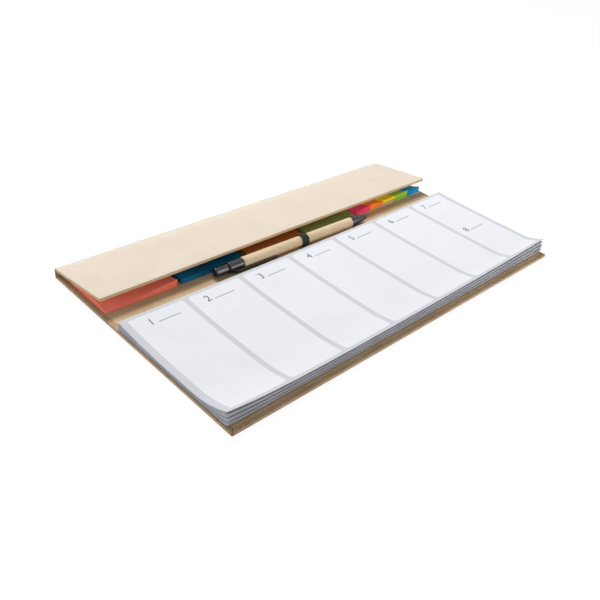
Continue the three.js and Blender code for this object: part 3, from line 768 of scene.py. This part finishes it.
# Sticky notes and page flags
stickyY = case["creaseY"] - case["flapS"]
notes = {
    "left": -145.3, "pitch": 53.3, "bottom": 2.4, "width": 50.0, "depth": 38.0, "thick": 3.0, "sheets": 14,
    "reach": 9.0, "slip": 0.15,
    "tints": {
        "coral": {"colour": (250, 134, 112), "lift": (-0.75, 0.6), "glow": 0.09},
        "blue": {"colour": (10, 124, 172), "lift": (0.07, 0.07)},
        "orange": {"colour": (226, 136, 62), "lift": (0.1, 0.13)},
        "green": {"colour": (178, 194, 102), "lift": (0.07, 0.2)},
    },
}
flags = {
    "left": 69.7, "pitch": 15.15, "bottom": 2.7, "width": 14.4, "depth": 44.0, "thick": 2.1, "sheets": 10,
    "reach": 8.0, "slip": 0.45,
    "tints": {
        "pink": {"colour": (246, 80, 112), "lift": (0.4, 1.3), "glow": 0.16},
        "orange": {"colour": (252, 148, 56), "lift": (1.4, 0.8), "glow": 0.16},
        "yellow": {"colour": (252, 226, 44), "lift": (1.0, 1.2), "glow": 0.16, "raised": 0.5},
        "green": {"colour": (158, 206, 70), "lift": (1.4, 1.5), "glow": 0.16},
        "blue": {"colour": (26, 148, 198), "lift": (1.4, 1.4), "glow": 0.16},
    },
}
sheetLook = {"sideways": 0.07, "inwards": 0.02, "fill": 0.82}


# A block of sheets: flat but for its front, where it curls and opens by the power 1.5 of the way to the edge
def sheetBlock(name, left, block, look, material, node):
    width, depth, reach, count = block["width"], block["depth"], block["reach"], block["sheets"]
    along = np.concatenate([np.linspace(0, reach, 7), np.linspace(reach, depth, 4)[1:]])
    x, y = np.meshgrid(np.linspace(0, width, 17), along)
    opened = np.clip(1 - y / reach, 0, 1) ** 1.5
    low, high = look["lift"]
    thick = block["thick"] * (1 + (low + (high - low) * x / width) * opened)
    raised = look.get("raised", 0) * opened
    points, quads = [], []
    for k in range(count):
        share = (k + 1) / count
        dx = rng.uniform(-sheetLook["sideways"], sheetLook["sideways"])
        dy = rng.uniform(-sheetLook["inwards"], block["slip"])
        height = block["bottom"] + (share + raised * (1 - share)) * thick
        top = np.stack([left + x + dx, stickyY + y + dy, height], -1)
        under = top.copy()
        under[..., 2] -= sheetLook["fill"] / count * thick * (1 - raised)
        quads.append(shellQuads(*x.shape) + 2 * x.size * k)
        points += [top.reshape(-1, 3), under.reshape(-1, 3)]
    piece = makePiece(name, np.concatenate(points), np.concatenate(quads), material, "base")
    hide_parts(node)


for kind, block in (("note", notes), ("flag", flags)):
    for i, (tint, look) in enumerate(block["tints"].items()):
        node = f"{kind}_pad_{tint}"
        tinted = tintedPaper(f"{tint} {kind} paper", *look["colour"], look.get("glow", 0.0))
        left = block["left"] + block["pitch"] * i
        sheetBlock(f"{kind}s_{tint}", left, block, look, tinted, node)
dress(paper["white card"], "flag_backing_card")
print("notes and flags ready")


# Pen: moulded, turned and drawn surfaces, with a slight haze and a fine grain
def smoothMaterial(name, colour, rough, coat=0.0, metal=0.0):
    material, tree, shader, place = startMaterial(name)
    base, hazy = linear(*colour), [c * 0.9 for c in linear(*colour)[:3]] + [1]
    haze = noise(tree, place, 260.0, 2.0)
    tree.links.new(blendColours(tree, ramp(tree, haze, 0.3, 0.7), base, hazy), shader.inputs["Base Color"])
    tree.links.new(ramp(tree, haze, 0.3, 0.7, (rough - 0.02, rough + 0.03)), shader.inputs["Roughness"])
    grain = {"Strength": 0.04, "Distance": 0.00001, "Height": noise(tree, place, 5000.0, 2.0)}
    tree.links.new(addNode(tree, "ShaderNodeBump", grain).outputs[0], shader.inputs["Normal"])
    shader.inputs["Coat Weight"].default_value = coat
    shader.inputs["Metallic"].default_value = metal
    return material


blackPlastic = smoothMaterial("black plastic", (24, 19, 30), 0.33, coat=0.1)
dress(smoothMaterial("cam plastic", (232, 230, 222), 0.5), "pen_cam")
dress(smoothMaterial("refill plastic", (220, 226, 232), 0.3), "pen_refill_tube")
dress(smoothMaterial("turned brass", (206, 168, 96), 0.28, metal=1.0), "pen_refill_tip")
dress(smoothMaterial("spring wire", (196, 198, 202), 0.3, metal=1.0), "pen_spring")

# Stations are measured from the button's end, radii from the pen's axis
pen = {
    "length": 139.9, "yaw": radians(-1.08), "middle": (-1.65, stickyY - 7.45), "height": 6.6, "radius": 3.6,
    "bore": 3.1, "cap": (10.6, 21.9), "barrel": (22.2, 123.5), "spigot": 2.95, "spigotBore": 2.55,
    "buttonRadius": 2.3, "head": 2.9, "play": 0.15, "recess": 6.4, "flats": 8, "flatness": 0.85,
    "seam": 0.05, "seamTurn": 0.62, "tipBore": 1.3, "springBore": 1.6,
}


# A point a along the pen's axis, r from it and turned by angle from the side that faces the notes
def alongPen(a, r, angle):
    a, r, angle = np.broadcast_arrays(a, r, angle)
    along, side = a - pen["length"] / 2, r * np.cos(angle)
    x = pen["middle"][0] + along * np.cos(pen["yaw"]) - side * np.sin(pen["yaw"])
    y = pen["middle"][1] + along * np.sin(pen["yaw"]) + side * np.cos(pen["yaw"])
    return np.stack([x, y, pen["height"] + r * np.sin(angle)], -1)


# A profile of stations and radii turned round the pen's axis, with the radius times a factor of angle and
# station
def turnedPiece(name, profile, material, body, closed=True, shape=None, around=96):
    profile = np.array(profile, float)
    angle = np.linspace(0, 2 * np.pi, around, endpoint=False)[None, :]
    a, r = profile[:, :1], profile[:, 1:]
    r = r * (shape(a, angle) if shape else np.ones_like(angle))
    points = alongPen(a, r, angle)
    last = (len(profile) - 1) * around
    caps = () if closed else (range(around), range(last, last + around))
    quads = ringQuads(len(profile), around, closeAlong=closed)
    return makePiece(name, points, quads, material, body, caps=caps)


# Rolled tube: the outer edge of the paper ends in a small step that runs the length of the barrel
def rolledStep(a, angle):
    return 1 + pen["seam"] / pen["radius"] * ((angle / (2 * np.pi) + pen["seamTurn"]) % 1 - 1) + 0 * a


start, stop = pen["barrel"]
outer, bore = pen["radius"], pen["bore"]
tube = turnedPiece("barrel", [
    (start + 0.08, bore), (start, bore + 0.1), (start, outer - 0.1), (start + 0.1, outer),
    *[(a, outer) for a in np.linspace(start + 1, stop - 1, 24)],
    (stop - 0.1, outer), (stop, outer - 0.1), (stop, bore + 0.1), (stop - 0.08, bore),
], paper["rolled kraft tube"], "base", shape=rolledStep, around=128)
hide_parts("pen_barrel")

# Cap: collar round the mouth, body, and the spigot that holds it in the barrel
front, shoulder = pen["cap"]
mouth, recess = pen["buttonRadius"] + pen["play"], pen["head"] + pen["play"]
guide, guideEnd, spigotEnd = front + pen["recess"], front + pen["recess"] + 2.7, shoulder + 7.8
spigot, spigotBore = pen["spigot"], pen["spigotBore"]
cap = turnedPiece("cap", [
    (guide, mouth), (guide, recess), (front + 0.2, recess), (front + 0.03, recess + 0.12),
    (front, 3.3), (front + 0.08, 3.48), (front + 0.28, outer), (front + 1.05, outer), (front + 1.25, 3.54),
    (front + 1.3, 3.45), (front + 4, 3.46), (front + 8, 3.46), (shoulder - 0.25, 3.45),
    (shoulder - 0.06, 3.38), (shoulder, 3.2), (shoulder, spigot),
    (spigotEnd - 0.2, spigot), (spigotEnd, spigot - 0.15), (spigotEnd, spigotBore),
    (guideEnd, spigotBore), (guideEnd, mouth),
], blackPlastic, "base")
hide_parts("pen_cap_and_clip")

# Clip: a flat rounded bar whose middle line leaves the cap, runs beside the barrel, dips to it and lifts at
# its end; its section is a squared oval
clip = {
    "start": 12.9, "stop": 49.9, "turn": radians(210), "out": 3.47, "rise": 1.13, "riseOver": 3.2,
    "dip": 0.35, "dipBefore": 3.9, "dipLength": 1.5, "halfWidth": 1.5, "taper": 0.3, "endRound": 1.3,
    "halfThick": 0.3, "thicker": 0.25, "squareness": 0.45, "rings": 60, "around": 28,
}


# The cosine or sine of an angle, raised to a power with its sign kept
def squared(wave, power):
    return np.sign(wave) * np.abs(wave) ** power


def clipPiece():
    start, stop, rings, around = clip["start"], clip["stop"], clip["rings"], clip["around"]
    t = np.linspace(0, 1, rings)[:, None]
    a = start + (stop - start) * t
    rise = np.clip((a - start) / clip["riseOver"], 0, 1)
    rise = rise * rise * (3 - 2 * rise)
    dip = clip["dip"] * np.exp(-((a - stop + clip["dipBefore"]) / clip["dipLength"]) ** 2)
    out = clip["out"] + clip["rise"] * rise - dip
    toEnd = np.clip((a - stop + clip["endRound"]) / clip["endRound"], 0, 1)
    wide = (clip["halfWidth"] - clip["taper"] * t) * np.sqrt(np.clip(1 - toEnd ** 2, 0.02, 1))
    turn = np.linspace(0, 2 * np.pi, around, endpoint=False)[None, :]
    across = wide * squared(np.cos(turn), clip["squareness"])
    deep = out + (clip["halfThick"] + clip["thicker"] * rise) * squared(np.sin(turn), clip["squareness"])
    points = alongPen(a, np.hypot(deep, across), clip["turn"] + np.arctan2(across, deep))
    last = (rings - 1) * around
    ends = range(around), range(last, last + around)
    return makePiece("clip", points, ringQuads(rings, around), blackPlastic, "base", caps=ends)


clipPiece()

# Nose cone: a step at the barrel, a long taper and a blunt rounded tip
step, tip = pen["barrel"][1], pen["length"]
tipBore, springBore = pen["tipBore"], pen["springBore"]
nose = turnedPiece("nose_cone", [
    (step - 7.5, spigotBore), (step - 7.5, spigot), (step + 0.3, spigot), (step + 0.3, 3.42),
    (step + 0.45, 3.56), (step + 0.7, outer), (step + 2.4, 3.58), (step + 4.6, 3.48), (step + 6.8, 3.3),
    (step + 9, 3.04), (step + 11.2, 2.71), (step + 13.2, 2.36), (tip - 1.4, 2.06), (tip - 0.8, 1.92),
    (tip - 0.35, 1.74), (tip - 0.08, 1.52), (tip, 1.4), (tip - 0.1, tipBore), (tip - 3.2, tipBore),
    (tip - 3.2, springBore), (tip - 9.2, springBore), (tip - 9.2, spigotBore),
], blackPlastic, "base")
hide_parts("pen_nose_cone")


# Button: round at its end, with long flats along the part that stands out
def buttonFlats(a, angle):
    step = 2 * np.pi / pen["flats"]
    flat = np.cos(step / 2) / np.cos((angle % step) - step / 2)
    blend = np.clip((a - 0.9) / 0.9, 0, 1) * np.clip((front - 1.0 - a) / 0.4, 0, 1)
    return 1 + blend * pen["flatness"] * (flat - 1)


head, neck = pen["head"], pen["buttonRadius"]
collar, stemEnd = guide + 3.7, front + 13.2
button = turnedPiece("button", [
    (0.3, 0.02), (0.28, 1.0), (0.14, 1.6), (0.02, 1.95), (0, 2.2), (0.06, 2.45), (0.2, 2.66),
    (0.45, 2.82), (0.75, 2.89), *[(a, head) for a in np.linspace(0.95, front - 0.8, 26)],
    (front - 0.45, 2.88), (front - 0.3, 2.75), (front - 0.3, neck), (collar, neck), (collar, 2.5),
    (collar + 2, 2.5), (collar + 2, neck), (stemEnd, neck), (stemEnd, 0.02),
], blackPlastic, "pen_plunger", closed=False, shape=buttonFlats)
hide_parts("pen_button")


# The spring gets a mesh of its own; the point of it farthest along the pen's axis, towards the nose cone, is
# found but not used
spring = bpy.data.objects["pen_spring"]
penAxis = alongPen(1, 0, 0) - alongPen(0, 0, 0)
places = np.array([spring.matrix_world @ vertex.co for vertex in spring.data.vertices])
along = places @ penAxis
tuple(places[along.argmax()])
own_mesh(spring)

# Loop: an elastic tape round the barrel, with ribs along it and picks across it
loop = {
    "start": 73.0, "width": 5.8, "radius": 4.5, "thick": 0.8, "boardTop": 2.45, "rib": 0.03, "ribs": 9,
    "picks": 60, "edgeRound": 0.35, "faceRound": 0.5, "turns": 120, "around": 48,
}


# Elastic: both the ribs and the picks are read from the band's own map
def elasticMaterial():
    material, tree, shader, place = startMaterial("black elastic")
    split = splitAxes(tree, addNode(tree, "ShaderNodeUVMap", uv_map="sheet").outputs[0])
    rib = calc(tree, "SINE", calc(tree, "MULTIPLY", split[0], 2 * np.pi * loop["ribs"]))
    pick = calc(tree, "SINE", calc(tree, "MULTIPLY", split[1], 2 * np.pi * loop["picks"]))
    weave = calc(tree, "ADD", rib, calc(tree, "MULTIPLY", calc(tree, "MULTIPLY", rib, pick), 0.6))
    fuzz = noise(tree, place, 4000.0, 2.0)
    colour = blendColours(tree, ramp(tree, weave, -1.2, 1.2), linear(10, 12, 14), linear(30, 36, 38))
    colour = blendColours(tree, ramp(tree, fuzz, 0.45, 0.7, (0, 0.4)), colour, linear(44, 54, 56))
    tree.links.new(colour, shader.inputs["Base Color"])
    bump = addNode(tree, "ShaderNodeBump", {"Strength": 0.6, "Distance": 0.00008, "Height": weave})
    tree.links.new(bump.outputs[0], shader.inputs["Normal"])
    tree.links.new(ramp(tree, fuzz, 0.3, 0.7, (0.55, 0.75)), shader.inputs["Roughness"])
    shader.inputs["Specular IOR Level"].default_value = 0.25
    return material


# A band with rounded edges and fine ribs, bent round the barrel and flat where it meets the board
def loopPiece():
    turn = np.linspace(0, 2 * np.pi, loop["turns"], endpoint=False)[:, None]
    ring = np.linspace(0, 2 * np.pi, loop["around"], endpoint=False)[None, :]
    across = squared(np.cos(ring), loop["edgeRound"])
    up = squared(np.sin(ring), loop["faceRound"])
    ribbed = loop["rib"] * up * np.cos(across * np.pi * 8)
    r = loop["radius"] - loop["thick"] / 2 + up * (loop["thick"] / 2 - 0.02) + ribbed
    floorAt = pen["height"] - loop["boardTop"]
    down = np.maximum(-np.sin(turn), 1e-6)
    r = np.where(r * down > floorAt, floorAt / down, r)
    a = loop["start"] + loop["width"] / 2 * (1 + across)
    uv = np.stack(np.broadcast_arrays(across / 2 + 0.5, turn / (2 * np.pi)), -1)
    quads = ringQuads(loop["turns"], loop["around"], closeAlong=True)
    piece = makePiece("loop", alongPen(a, r, turn), quads, elasticMaterial(), "base", uv=uv)
    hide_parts("pen_loop")


loopPiece()
print("pen ready")
